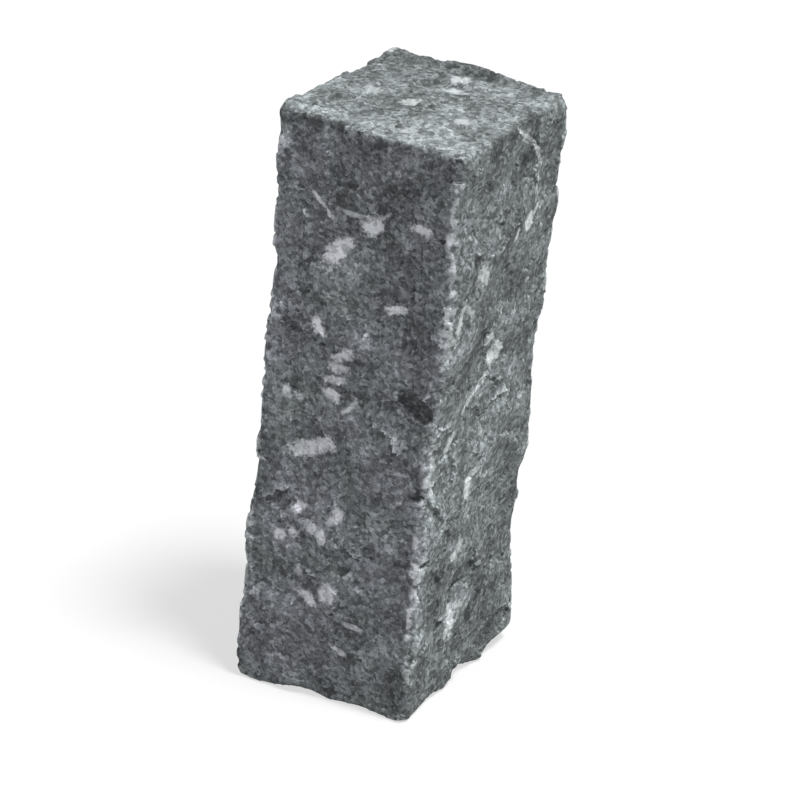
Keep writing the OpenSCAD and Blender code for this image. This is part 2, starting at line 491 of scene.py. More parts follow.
@dataclass(frozen=True)
class SplitRelief:
    """Fine relief of hand-split granite, laid over the solid's own waves, scars and chips.

    Lengths are metres.

    Attributes:
        settle_rounds: Smoothing rounds that take the solid's facets out, but for its edges.
        keen_rounds: Smoothing rounds against which a keen edge is told before that.
        keen_rise: How far a point stands proud of its smoothed self where it is kept as a keen edge.
        arris_rounds: Smoothing rounds against which an edge is told from a face later on.
        arris_rise: How far an edge stands proud of its smoothed self where it counts as a full edge.
        crease_wall: Share of a flake's reach over which it rises out of its crease.
        side_wall: Share of a flake's spread over which it rises out at its sides.
        fresh_depth: Depths between which a flake takes on its own tone.
        swell_size: Width of the widest bumps.
        swell_height: Their height.
        facet_size: Width of the flat facets all over the split faces.
        facet_slope: Their greatest slope.
        crumb_size: Width of the smallest bumps.
        crumb_height: Their height.
        chip_size: Width of the small chips along the edges.
        chip_depth: Their depth.
        chip_pick: Levels of a noise between which an edge is chipped.
        chip_edge: Share of a full edge above which a chip gets no deeper.
        dent_depth: Depth of a bruise.
        mark_corner: How square the ends of a mark are: 2 for an oval, and more for squarer ones.
        mark_stray: How far the outline of a mark strays in and out, as a share of its half width.
        break_angle: Degrees of turn from which two facets meet in a sharp break.
        bed_fade: Height over which the relief fades out above the level foot.
        front_turn: How squarely a face looks forward where its violet begins, and where it is full.
        stray_turn: How squarely a face looks back and left where it has stray bruises.
        stray_density: Stray bruises for a square metre there.
        stray_length: Least and greatest half length of a stray bruise.
        stray_width: Least and greatest half width.
        stray_strength: Least and greatest strength.
        stray_soft: Least and greatest softness.
        seed: Seed of everything random.
    """

    settle_rounds: int = 3
    keen_rounds: int = 6
    keen_rise: float = 0.0008
    arris_rounds: int = 14
    arris_rise: float = 0.0012
    crease_wall: float = 0.3
    side_wall: float = 0.2
    fresh_depth: Limits = (0.0002, 0.001)
    swell_size: float = 0.050
    swell_height: float = 0.0010
    facet_size: float = 0.026
    facet_slope: float = 0.08
    crumb_size: float = 0.0065
    crumb_height: float = 0.0009
    chip_size: float = 0.011
    chip_depth: float = 0.0015
    chip_pick: Limits = (0.50, 0.62)
    chip_edge: float = 1.2
    dent_depth: float = 0.0006
    mark_corner: float = 3.0
    mark_stray: float = 0.6
    break_angle: float = 38.0
    bed_fade: float = 0.004
    front_turn: Limits = (0.3, 0.9)
    stray_turn: float = 0.3
    stray_density: float = 420.0
    stray_length: Limits = (0.004, 0.013)
    stray_width: Limits = (0.002, 0.0064)
    stray_strength: Limits = (0.25, 0.95)
    stray_soft: Limits = (0.2, 0.5)
    seed: int = 7

    def apply(self, stone: Piece, marks: dict[str, Piece], granite: bpy.types.Material) -> None:
        """Gives the stone its relief and its material, as a plain mesh.

        Args:
            stone: The stone, which gets a new mesh.
            marks: Loose points of each kind of mark, by the kind's name.
            granite: Material of the stone.
        """
        sizes = {
            "Swell size": self.swell_size,
            "Swell height": self.swell_height,
            "Facet size": self.facet_size,
            "Facet slope": self.facet_slope,
            "Crumb size": self.crumb_size,
            "Crumb height": self.crumb_height,
            "Chip size": self.chip_size,
            "Chip depth": self.chip_depth,
            "Dent depth": self.dent_depth,
            "Bed fade": self.bed_fade,
            "Stray density": self.stray_density,
        }
        values = {**sizes, **marks, "Seed": self.seed, "Granite": granite}
        kinds = {name: "NodeSocketFloat" for name in sizes}
        kinds.update({name: "NodeSocketObject" for name in marks})
        kinds.update({"Seed": "NodeSocketInt", "Granite": "NodeSocketMaterial"})
        tree = bpy.data.node_groups.new("split_relief", "GeometryNodeTree")
        for way in ("INPUT", "OUTPUT"):
            tree.interface.new_socket("Stone", in_out=way, socket_type="NodeSocketGeometry")
        sockets = {}
        for name, kind in kinds.items():
            sockets[name] = tree.interface.new_socket(name, in_out="INPUT", socket_type=kind)
        ReliefTree(tree, self).fill()
        modifier = stone.modifiers.new("split_relief", "NODES")
        modifier.node_group = tree
        for name, value in values.items():
            modifier[sockets[name].identifier] = value
        bake(stone)


class ReliefTree(Graph):
    """The geometry nodes of the relief. A cloud is a set of points, one for each mark of a kind.

    Attributes:
        outside: Level of a place that is well outside every mark.
        ground_corner: A corner of the ground, far to the left and the front of the stone.
    """

    outside: float = -2.0
    ground_corner: tuple[float, float, float] = (-10.0, -10.0, 0.0)

    def __init__(self, tree: bpy.types.NodeTree, relief: SplitRelief) -> None:
        """Takes the tree, with its inputs made, and the relief's sizes."""
        super().__init__(tree)
        self.relief = relief
        self.given = self.node("NodeGroupInput").outputs

    def fill(self) -> None:
        """Writes the tree, from the plain stone to the marked one in its material."""
        stone = self.given["Stone"]
        steps = (
            self._settled,
            self._flaked,
            self._edged,
            self._roughened,
            self._edged,
            self._bruised,
            self._toned_and_shaded,
            self._tinted,
            self._levelled,
            self._shaded,
        )
        for step in steps:
            stone = step(stone)
        stone = self.result("GeometryNodeRealizeInstances", {"Geometry": stone})
        dressed = {"Geometry": stone, "Material": self.given["Granite"]}
        self.node("NodeGroupOutput", {"Stone": self.result("GeometryNodeSetMaterial", dressed)})

    def _position(self) -> Socket:
        """Place of every point."""
        return self.result("GeometryNodeInputPosition")

    def _normal(self) -> Socket:
        """The way out of the stone at every point."""
        return self.result("GeometryNodeInputNormal")

    def _moved(self, stone: Socket, **inputs: Socket) -> Socket:
        """The stone with its points at a new Position, or moved by an Offset."""
        return self.result("GeometryNodeSetPosition", {"Geometry": stone, **inputs})

    def _raised(self, stone: Socket, rise: Socket) -> Socket:
        """The stone with every point moved out by its rise."""
        return self._moved(stone, Offset=self.vector("SCALE", self._normal(), rise))

    def _stored(self, stone: Socket, name: str, value: Any, kind: str = "FLOAT") -> Socket:
        """The stone, or a cloud, with a named value on every point."""
        inputs = {"Geometry": stone, "Name": name, "Value": value}
        return self.result("GeometryNodeStoreNamedAttribute", inputs, data_type=kind, domain="POINT")

    def _named(self, name: str, kind: str = "FLOAT") -> Socket:
        """A named value of every point."""
        return self.result("GeometryNodeInputNamedAttribute", {"Name": name}, "Attribute", data_type=kind)

    def _blurred(self, value: Socket, rounds: int, weight: Any = 1.0) -> Socket:
        """A vector of every point after some rounds of smoothing."""
        inputs = {"Value": value, "Iterations": rounds, "Weight": weight}
        return self.result("GeometryNodeBlurAttribute", inputs, data_type="FLOAT_VECTOR")

    def _proud(self, rounds: int, full: float) -> Socket:
        """How far every point stands proud of its smoothed self.

        Args:
            rounds: Smoothing rounds.
            full: How far a point of a full edge stands proud.

        Returns:
            The share of a full edge, below zero in a hollow.
        """
        place = self._position()
        rise = self.vector("SUBTRACT", place, self._blurred(place, rounds))
        return self.math("DIVIDE", self.vector("DOT_PRODUCT", rise, self._normal()), full)

    def _settled(self, stone: Socket) -> Socket:
        """Smooths the solid's facets out.

        Args:
            stone: The stone as the solid has it.

        Returns:
            The stone without those facets, but with its edges kept keen.
        """
        keen = self.math("MAXIMUM", self._proud(self.relief.keen_rounds, self.relief.keen_rise), 0.0)
        weight = self.math("SUBTRACT", 1.0, keen, clamp=True)
        return self._moved(stone, Position=self._blurred(self._position(), self.relief.settle_rounds, weight))

    def _edged(self, stone: Socket) -> Socket:
        """The stone with its edges and hollows found and stored on every point."""
        return self._stored(stone, ARRIS, self._proud(self.relief.arris_rounds, self.relief.arris_rise))

    def _cloud(self, name: str) -> Socket:
        """A cloud of the loose points that the tree is given under a name."""
        points = self.result(
            "GeometryNodeObjectInfo", {"Object": self.given[name]}, "Geometry", transform_space="RELATIVE"
        )
        return self.result("GeometryNodeMeshToPoints", {"Mesh": points})

    def _read(self, cloud: Socket, value: Socket, index: Socket, kind: str = "FLOAT") -> Socket:
        """A value of the point with that index in a cloud."""
        inputs = {"Geometry": cloud, "Value": value, "Index": index}
        return self.result("GeometryNodeSampleIndex", inputs, data_type=kind, domain="POINT")

    def _read_named(self, cloud: Socket, name: str, index: Socket, kind: str = "FLOAT") -> Socket:
        """A named value of the point with that index in a cloud."""
        return self._read(cloud, self._named(name, kind), index, kind)

    def _for_each(
        self, stone: Socket, cloud: Socket, step: Callable[[Socket, Socket, Socket], Socket]
    ) -> Socket:
        """Repeats a step for every point of a cloud.

        Args:
            stone: The stone before the first step.
            cloud: The cloud.
            step: Makes the stone after a step from the stone before it, the cloud and the point's index.

        Returns:
            The stone after the last step.
        """
        begin = self.node("GeometryNodeRepeatInput")
        end = self.node("GeometryNodeRepeatOutput")
        begin.pair_with_output(end)
        size = self.node("GeometryNodeAttributeDomainSize", {"Geometry": cloud}, component="POINTCLOUD")
        self.feed(begin.inputs["Iterations"], size.outputs["Point Count"])
        self.feed(begin.inputs["Geometry"], stone)
        done = step(begin.outputs["Geometry"], cloud, begin.outputs["Iteration"])
        self.feed(end.inputs["Geometry"], done)
        return end.outputs["Geometry"]

    def _flaked(self, stone: Socket) -> Socket:
        """The stone with a flat facet cut for every flake, and how much lighter or darker each facet is,
        partly painted shade, stored on it.
        """
        return self._for_each(self._stored(stone, TONE_AND_SHADE, 0.0), self._cloud("Flakes"), self._cut_flake)

    def _cut_flake(self, stone: Socket, cloud: Socket, index: Socket) -> Socket:
        """Cuts one flat facet, which ends in a straight crease.

        Args:
            stone: The stone before the cut.
            cloud: The flakes.
            index: Which of them is cut.

        Returns:
            The stone with the facet and its tone.
        """
        relief = self.relief
        place = self._position()
        away = self.vector("SUBTRACT", place, self._read(cloud, place, index, "FLOAT_VECTOR"))
        slant = self._read_named(cloud, "slant", index, "FLOAT_VECTOR")
        downhill = self._read_named(cloud, "downhill", index, "FLOAT_VECTOR")
        depth = self.math("MAXIMUM", self.vector("DOT_PRODUCT", away, slant), 0.0)
        walls = (
            (self.vector("DOT_PRODUCT", away, downhill), "reach", relief.crease_wall),
            (self.vector("LENGTH", away), "spread", relief.side_wall),
        )
        for gap, name, wall in walls:
            limit = self._read_named(cloud, name, index)
            near = self.ramp(gap, limit, self.math("MULTIPLY", limit, 1.0 - wall))
            depth = self.math("MULTIPLY", depth, near)
        share = self.ramp(depth, *relief.fresh_depth)
        tone = self.math("MULTIPLY_ADD", share, self._read_named(cloud, "tone", index), self._named(TONE_AND_SHADE))
        stone = self._stored(stone, TONE_AND_SHADE, tone)
        return self._moved(stone, Offset=self.vector("SCALE", slant, self.math("MULTIPLY", depth, -1.0)))

    def _roughened(self, stone: Socket) -> Socket:
        """Lays swells, facets, crumbs and chipped edges over the stone.

        Args:
            stone: The stone with its edges found.

        Returns:
            The rough stone, which is smooth at the level foot.
        """
        relief = self.relief
        given = self.given
        place = self._position()
        swell = self._bumps(place, given["Swell size"], given["Swell height"], ReliefLayer.SWELL)
        crumb = self._bumps(place, given["Crumb size"], given["Crumb height"], ReliefLayer.CRUMB)
        swayed = self.swayed(place, given["Facet size"], relief.seed + ReliefLayer.FACET)
        facet = self.tilted(swayed, self.cells(swayed, given["Facet size"]))
        facet = self.math("MULTIPLY", facet, given["Facet slope"])
        edge = self.math("MINIMUM", self.math("MAXIMUM", self._named(ARRIS), 0.0), relief.chip_edge)
        pick = self.noise(place, given["Chip size"], relief.seed + ReliefLayer.CHIP)
        pick = self.ramp(pick, *relief.chip_pick)
        chip = self.math("MULTIPLY", self.math("MULTIPLY", pick, edge), given["Chip depth"])
        rise = self.math("ADD", self.math("ADD", swell, crumb), self.math("SUBTRACT", facet, chip))
        rise = self.math("MULTIPLY", rise, self.ramp(self.height(place), 0.0, given["Bed fade"]))
        return self._raised(stone, rise)

    def _bumps(self, place: Socket, size: Socket, height: Socket, layer: ReliefLayer) -> Socket:
        """Rounded bumps of one size and layer, as a height."""
        level = self.noise(place, size, self.relief.seed + layer)
        return self.math("MULTIPLY", self.math("SUBTRACT", level, 0.5), height)

    def _random(self, limits: Limits, layer: StrayLayer) -> Socket:
        """A random number between two limits for every point."""
        inputs = {"Min": limits[0], "Max": limits[1], "Seed": self.relief.seed + layer}
        return self.result("FunctionNodeRandomValue", inputs, data_type="FLOAT")

    def _strays(self, stone: Socket) -> Socket:
        """Strews stray bruises over the back and left faces.

        Args:
            stone: The stone to strew them on.

        Returns:
            A cloud of bruises, with the same values as the listed ones.
        """
        relief = self.relief
        unseen = self.vector("DOT_PRODUCT", self._normal(), Vector((-1, 1, 0)).normalized())
        inputs = {
            "Mesh": stone,
            "Selection": self.math("GREATER_THAN", unseen, relief.stray_turn),
            "Density": self.given["Stray density"],
            "Seed": self.given["Seed"],
        }
        strewn = self.node("GeometryNodeDistributePointsOnFaces", inputs).outputs
        length = self._random(relief.stray_length, StrayLayer.LENGTH)
        turn = self._random((0.0, math.tau), StrayLayer.TURN)
        across = {
            "X": self.math("MULTIPLY", length, self.math("COSINE", turn)),
            "Y": self.math("MULTIPLY", length, self.math("SINE", turn)),
        }
        flat = self.result("ShaderNodeCombineXYZ", across)
        laid = self.result("FunctionNodeRotateVector", {"Vector": flat, "Rotation": strewn["Rotation"]})
        points = self._stored(strewn["Points"], "lengthways", laid, "FLOAT_VECTOR")
        numbers = (
            ("half_width", relief.stray_width, StrayLayer.WIDTH),
            ("strength", relief.stray_strength, StrayLayer.STRENGTH),
            ("soft", relief.stray_soft, StrayLayer.SOFT),
        )
        for name, limits, layer in numbers:
            points = self._stored(points, name, self._random(limits, layer))
        return points

    def _bruised(self, stone: Socket) -> Socket:
        """Lays the bruises on the stone and presses them in.

        Args:
            stone: The rough stone.

        Returns:
            The bruised stone, with how far inside a bruise it is, and how pale, on every point.
        """
        joined = self.node("GeometryNodeJoinGeometry")
        for part in (self._cloud("Bruises"), self._strays(stone)):
            self.feed(joined.inputs["Geometry"], part)
        stone = self._stored(stone, BRUISE, self.outside)
        stone = self._stored(stone, PALLOR, 0.0)
        stone = self._for_each(stone, joined.outputs["Geometry"], self._lay_bruise)
        pressed = self.math("MULTIPLY", self.ramp(self._named(BRUISE), -1.0, 1.0), self._named(PALLOR))
        dent = self.math("MULTIPLY", self.given["Dent depth"], -1.0)
        return self._raised(stone, self.math("MULTIPLY", pressed, dent))

    def _lay_bruise(self, stone: Socket, cloud: Socket, index: Socket) -> Socket:
        """Lays one bruise over those before it.

        Args:
            stone: The stone with the bruises before it.
            cloud: The bruises.
            index: Which of them is laid.

        Returns:
            The stone with the bruise.
        """
        level = self._mark_level(cloud, index)
        inside = self.math("GREATER_THAN", level, self._named(BRUISE))
        change = self.math("SUBTRACT", self._read_named(cloud, "strength", index), self._named(PALLOR))
        stone = self._stored(stone, PALLOR, self.math("MULTIPLY_ADD", inside, change, self._named(PALLOR)))
        return self._stored(stone, BRUISE, self.math("MAXIMUM", level, self._named(BRUISE)))

    def _mark_level(self, cloud: Socket, index: Socket) -> Socket:
        """How far inside one mark every point is.

        Args:
            cloud: The marks.
            index: Which of them is read.

        Returns:
            One or more where the mark is full, minus one where it ends.
        """
        relief = self.relief
        place = self._position()
        away = self.vector("SUBTRACT", place, self._read(cloud, place, index, "FLOAT_VECTOR"))
        lengthways = self._read_named(cloud, "lengthways", index, "FLOAT_VECTOR")
        squared = self.vector("DOT_PRODUCT", lengthways, lengthways)
        share = self.math("DIVIDE", self.vector("DOT_PRODUCT", away, lengthways), squared)
        across = self.vector("SUBTRACT", away, self.vector("SCALE", lengthways, share))
        across = self.vector("LENGTH", across)
        across = self.math("DIVIDE", across, self._read_named(cloud, "half_width", index))
        gap = self.math("POWER", self.math("ABSOLUTE", share), relief.mark_corner)
        gap = self.math("ADD", gap, self.math("POWER", across, relief.mark_corner))
        gap = self.math("POWER", gap, 1.0 / relief.mark_corner)
        stray = self.noise(place, self.given["Crumb size"], relief.seed + ReliefLayer.OUTLINE)
        stray = self.math("MULTIPLY_ADD", stray, 2.0 * relief.mark_stray, -relief.mark_stray)
        within = self.math("SUBTRACT", 1.0, self.math("ADD", gap, stray))
        level = self.math("DIVIDE", within, self._read_named(cloud, "soft", index))
        return self.math("MAXIMUM", level, self.outside)

    def _toned_and_shaded(self, stone: Socket) -> Socket:
        """The stone with how much lighter or darker it is, painted shade included, added up on every point.
        """
        return self._for_each(stone, self._cloud("Tones"), self._add_tone_and_shade)

    def _add_tone_and_shade(self, stone: Socket, cloud: Socket, index: Socket) -> Socket:
        """Adds one tone to those before it.

        Args:
            stone: The stone with the tones before it.
            cloud: The tones.
            index: Which of them is added.

        Returns:
            The stone with the tone.
        """
        share = self.ramp(self._mark_level(cloud, index), -1.0, 1.0)
        strength = self._read_named(cloud, "strength", index)
        return self._stored(stone, TONE_AND_SHADE, self.math("MULTIPLY_ADD", share, strength, self._named(TONE_AND_SHADE)))

    def _tinted(self, stone: Socket) -> Socket:
        """Stores the share of violet: full on the front face, none on the others.

        Args:
            stone: The stone before that.

        Returns:
            The stone with the share on every point.
        """
        faced = self._blurred(self._normal(), self.relief.arris_rounds)
        front = self.vector("DOT_PRODUCT", faced, Side.FRONT.out)
        return self._stored(stone, VIOLET, self.ramp(front, *self.relief.front_turn))

    def _levelled(self, stone: Socket) -> Socket:
        """The stone with nothing below the ground."""
        return self._moved(stone, Position=self.vector("MAXIMUM", self._position(), self.ground_corner))

    def _shaded(self, stone: Socket) -> Socket:
        """Shades the stone smooth but for its breaks.

        Args:
            stone: The finished stone.

        Returns:
            The shaded stone.
        """
        turn = self.result("GeometryNodeInputMeshEdgeAngle", output="Unsigned Angle")
        smooth = self.math("LESS_THAN", turn, math.radians(self.relief.break_angle))
        inputs = {"Geometry": stone, "Shade Smooth": smooth}
        return self.result("GeometryNodeSetShadeSmooth", inputs, domain="EDGE")


@dataclass(frozen=True)
class Granite:
    """Dark grey, fine-grained granite, freshly split. Lengths are metres, colours are linear.

    A step is given by two limits of what is read, and by the results at them where these aren't 0 and 1.

    Attributes:
        crystal_size: Width of the larger crystals.
        speck_size: Width of the smaller ones between them.
        crystal_share: How much the level of the larger crystals varies.
        speck_share: How much the level of the smaller ones varies.
        cloud_size: Width of the clouds in which the stone is lighter or darker.
        cloud_depth: How much lighter or darker it is there.
        rim: Heights between which the pale edges end below the rim of the head.
        foot: Heights between which they end above the foot.
        edge: Step by which the stone gets lighter along an edge.
        painted_hollow_shade: Step by which shade is painted into recesses, darkening them.
        fleck: Step by which pale flecks come out along an edge.
        fleck_size: Width of those flecks.
        fleck_sway: How far a noise moves the share of an edge up and down, to break it into flecks.
        bruise: Step by which a bruise turns to dust.
        bruise_sway: How far a noise moves the level of a bruise up and down, to make its outline ragged.
        mottle: Step by which the dust is thin in places.
        mottle_size: Width of those places.
        grain_dust: Step by which there is less dust on dark grains.
        patch: Step by which the violet comes in patches.
        patch_size: Width of those patches.
        levels: Levels of the grain at which it is dark, dusk, body, light and white.
        dark: Colour of mica and hornblende, and of the shade painted into recesses.
        dusk: Colour of the darker feldspar.
        body: Colour of most of the feldspar.
        light: Colour of the lighter feldspar.
        white: Colour of the palest grains.
        dust: Colour of crushed stone.
        tint: Colour of the stone as a whole, by which the greys are multiplied.
        violet: Colour by which patches of the front face are multiplied on top of that.
        roughness: Roughness of the stone.
        sheen: How much of the usual reflection it has.
        crystal_slope: Slope of the crystals' faces, as a height for each metre.
        grit_height: Height of the finest roughness.
    """

    crystal_size: float = 0.0034
    speck_size: float = 0.0016
    crystal_share: float = 0.43
    speck_share: float = 0.28
    cloud_size: float = 0.030
    cloud_depth: float = 0.9
    rim: Limits = (0.476, 0.490)
    foot: Limits = (0.045, 0.015)
    edge: Limits = (0.35, 1.1, 0.0, 0.20)
    painted_hollow_shade: Limits = (-0.2, -1.4, 0.0, 0.5)
    fleck: Limits = (0.9, 1.8, 0.0, 0.5)
    fleck_size: float = 0.007
    fleck_sway: float = 1.5
    bruise: Limits = (-0.6, 0.9)
    bruise_sway: float = 2.5
    mottle: Limits = (0.37, 0.55, 0.55, 1.0)
    mottle_size: float = 0.0045
    grain_dust: Limits = (0.15, 0.5, 0.8, 1.0)
    patch: Limits = (0.36, 0.60, 0.2, 1.0)
    patch_size: float = 0.045
    levels: Limits = (0.08, 0.34, 0.52, 0.76, 0.95)
    dark: Colour = grey(0.047)
    dusk: Colour = grey(0.117)
    body: Colour = grey(0.197)
    light: Colour = grey(0.35)
    white: Colour = grey(0.58)
    dust: Colour = (0.90, 0.86, 0.86, 1.0)
    tint: Colour = (0.905, 1.0, 1.015, 1.0)
    violet: Colour = (1.05, 1.0, 1.075, 1.0)
    roughness: float = 0.88
    sheen: float = 0.3
    crystal_slope: float = 0.13
    grit_height: float = 0.0002

    def material(self) -> bpy.types.Material:
        """Builds the stone's material.

        Returns:
            A procedural material that reads the stone's own place and values.
        """
        material = bpy.data.materials.new("granite")
        material.use_nodes = True
        GraniteTree(material.node_tree, self).fill()
        return material


class GraniteTree(Graph):
    """The shader nodes of the granite."""

    def __init__(self, tree: bpy.types.NodeTree, granite: Granite) -> None:
        """Takes the tree of a new material and the finish, and lays out the crystals."""
        super().__init__(tree)
        self.granite = granite
        own_place = self.result("ShaderNodeTexCoord", output="Object")
        self.place = self.swayed(own_place, granite.crystal_size, GrainLayer.SWAY)
        self.crystals = self.cells(self.place, granite.crystal_size)
        self.specks = self.cells(self.place, granite.speck_size)

    def fill(self) -> None:
        """Writes the tree into the material's own shader."""
        inputs = self.tree.nodes["Principled BSDF"].inputs
        self.feed(inputs["Base Color"], self._colour())
        self.feed(inputs["Normal"], self._slant())
        self.feed(inputs["Roughness"], self.granite.roughness)
        self.feed(inputs["Specular IOR Level"], self.granite.sheen)

    def _value(self, name: str) -> Socket:
        """A named value of the stone."""
        return self.result("ShaderNodeAttribute", output="Fac", attribute_name=name)

    def _level(self, cells: Node) -> Socket:
        """One random level for every cell."""
        return self.result("ShaderNodeSeparateColor", {"Color": cells.outputs["Color"]}, "Red")

    def _rough_noise(self, size: float, layer: GrainLayer, rough: float = 0.6) -> Socket:
        """A noise with three finer layers."""
        return self.noise(self.place, size, layer, 3.0, rough)

    def _swung(self, level: Socket, sway: Socket, reach: float) -> Socket:
        """A level moved up and down by a noise, by up to a reach."""
        return self.math("ADD", level, self.math("MULTIPLY_ADD", sway, 2.0 * reach, -reach))

    def _mixed(self, share: Any, first: Any, second: Any, blend: str = "MIX") -> Socket:
        """A mix of two colours."""
        inputs = {"Factor": share, "A": first, "B": second}
        return self.result("ShaderNodeMix", inputs, data_type="RGBA", blend_type=blend)

    def _colour(self) -> Socket:
        """Colours the grains, then edges, the painted shade of recesses, and bruises, and tints them all.

        Returns:
            The stone's colour.
        """
        granite = self.granite
        arris = self._value(ARRIS)
        height = self.height(self.place)
        plain = self.math("ADD", self.ramp(height, *granite.rim), self.ramp(height, *granite.foot))
        edge = self.math("SUBTRACT", arris, plain)
        grain = self._grain(edge)
        stone = self._grain_colour(grain)
        fleck = self._swung(edge, self._rough_noise(granite.fleck_size, GrainLayer.FLECK), granite.fleck_sway)
        stone = self._mixed(self.ramp(fleck, *granite.fleck), stone, granite.dust)
        # Painted shade: recesses are darkened towards the darkest grain colour
        stone = self._mixed(self.ramp(arris, *granite.painted_hollow_shade), stone, granite.dark)
        stone = self._mixed(self._crushed(grain), stone, granite.dust)
        stone = self._mixed(1.0, stone, granite.tint, "MULTIPLY")
        patch = self.ramp(self.noise(self.place, granite.patch_size, GrainLayer.PATCH), *granite.patch)
        patch = self.math("MULTIPLY", patch, self._value(VIOLET))
        return self._mixed(patch, stone, granite.violet, "MULTIPLY")

    def _grain(self, edge: Socket) -> Socket:
        """Adds up the crystals, the specks, the lighter and darker places with their painted shade, the pale
        edges and the clouds.

        Args:
            edge: Share of an edge, where edges are pale.

        Returns:
            How light the grain is, from about 0 to 1.
        """
        granite = self.granite
        middle = 0.5 * (1.0 - granite.crystal_share - granite.speck_share)
        grain = self.math("ADD", self._value(TONE_AND_SHADE), middle)
        grain = self.math("MULTIPLY_ADD", self._level(self.crystals), granite.crystal_share, grain)
        grain = self.math("MULTIPLY_ADD", self._level(self.specks), granite.speck_share, grain)
        grain = self.math("ADD", grain, self.ramp(edge, *granite.edge))
        cloud = self.math("SUBTRACT", self._rough_noise(granite.cloud_size, GrainLayer.CLOUD), 0.5)
        return self.math("MULTIPLY_ADD", cloud, granite.cloud_depth, grain)

    def _grain_colour(self, grain: Socket) -> Socket:
        """Gives the grain its greys.

        Args:
            grain: How light the grain is.

        Returns:
            Its colour.
        """
        granite = self.granite
        greys = (granite.dark, granite.dusk, granite.body, granite.light, granite.white)
        node = self.node("ShaderNodeValToRGB", {"Fac": grain})
        elements = node.color_ramp.elements
        for index, (level, colour) in enumerate(zip(granite.levels, greys)):
            element = elements[index] if index < len(elements) else elements.new(level)
            element.position = level
            element.color = colour
        return node.outputs["Color"]

    def _crushed(self, grain: Socket) -> Socket:
        """Finds how much dust lies in the bruises.

        Args:
            grain: How light the grain is.

        Returns:
            The share of dust.
        """
        granite = self.granite
        sway = self._rough_noise(granite.crystal_size, GrainLayer.DUST, 0.7)
        inside = self._swung(self._value(BRUISE), sway, granite.bruise_sway)
        dust = self.math("MULTIPLY", self.ramp(inside, *granite.bruise), self._value(PALLOR))
        mottle = self.noise(self.place, granite.mottle_size, GrainLayer.MOTTLE, rough=0.6)
        dust = self.math("MULTIPLY", dust, self.ramp(mottle, *granite.mottle))
        return self.math("MULTIPLY", dust, self.ramp(grain, *granite.grain_dust))

    def _slant(self) -> Socket:
        """Slants the crystals' faces and lays fine grit on them.

        Returns:
            The way out of the stone.
        """
        granite = self.granite
        faces = self.math("ADD", self.tilted(self.place, self.crystals), self.tilted(self.place, self.specks))
        grit = self._rough_noise(granite.speck_size, GrainLayer.GRIT)
        grit = self.math("MULTIPLY", grit, granite.grit_height)
        height = self.math("MULTIPLY_ADD", faces, granite.crystal_slope, grit)
        return self.result("ShaderNodeBump", {"Height": height, "Strength": 1.0, "Distance": 1.0})


@dataclass
class SplitPost:
    """The granite post itself.

    Attributes:
        relief: Its fine relief.
        marks: The marks on it.
        granite: Its stone.
        point_spacing: Spacing of its surface points in metres.
        weld_gap: Gap below which corners of the solid's triangles are joined.
    """

    relief: SplitRelief
    marks: FaceMarks
    granite: Granite
    point_spacing: float = 0.00215
    weld_gap: float = 0.01 * MM

    def build(self) -> Piece:
        """Makes the post on the frame's solid.

        Returns:
            The finished post, which stands for the solid.
        """
        post = self._copy_of_solid()
        remesh = post.modifiers.new("even_points", "REMESH")
        remesh.mode = "VOXEL"
        remesh.voxel_size = self.point_spacing
        bake(post)
        marks = self.marks.points(Skin(post))
        self.relief.apply(post, marks, self.granite.material())
        for points in marks.values():
            bpy.data.objects.remove(points)
        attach(post, BODY)
        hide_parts(NODE)
        return post

    def _copy_of_solid(self) -> Piece:
        """Copies the solid's mesh and joins its loose triangles.

        Returns:
            The new object.
        """
        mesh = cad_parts[NODE].data.copy()
        mesh.materials.clear()
        shape = bmesh.new()
        shape.from_mesh(mesh)
        bmesh.ops.remove_doubles(shape, verts=shape.verts, dist=self.weld_gap)
        shape.to_mesh(mesh)
        shape.free()
        post = bpy.data.objects.new("split_post", mesh)
        bpy.context.scene.collection.objects.link(post)
        return post


